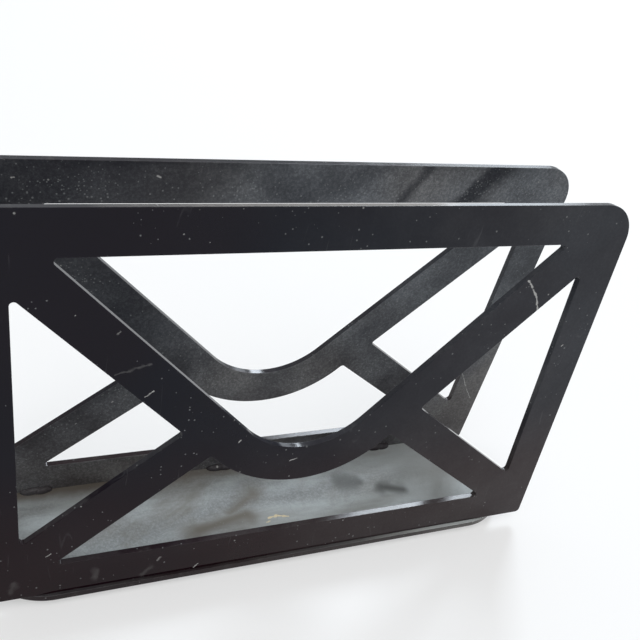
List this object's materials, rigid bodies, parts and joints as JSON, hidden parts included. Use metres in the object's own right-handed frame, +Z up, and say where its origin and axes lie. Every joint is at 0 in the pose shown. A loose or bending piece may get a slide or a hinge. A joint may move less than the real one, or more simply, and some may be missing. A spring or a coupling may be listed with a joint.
{
  "type": "envelope sorter",
  "caption": "Open letter sorter of black painted steel: a front and a back panel cut out as an envelope, leaning inward on a floor plate with rubber feet.",
  "frame": {"origin": "on the surface that the sorter stands on, below the middle of the floor plate", "axes": "+X along the sorter, -Y is the front, +Z up"},
  "size_m": [0.18, 0.044, 0.1191],
  "materials": {
    "black_paint": "gloss black paint, dusty and lightly scratched",
    "rubber": "matt",
    "adhesive": "acrylic adhesive"
  },
  "bodies": {
    "root": {"floor_plate": "black_paint", "front_panel": "black_paint", "front_weld_left": "black_paint", "front_weld_middle": "black_paint", "front_weld_right": "black_paint", "front_left_foot": "rubber", "front_left_adhesive": "adhesive", "front_right_foot": "rubber", "front_right_adhesive": "adhesive", "back_panel": "black_paint", "back_weld_left": "black_paint", "back_weld_middle": "black_paint", "back_weld_right": "black_paint", "back_left_foot": "rubber", "back_left_adhesive": "adhesive", "back_right_foot": "rubber", "back_right_adhesive": "adhesive"}
  },
  "joints": []
}
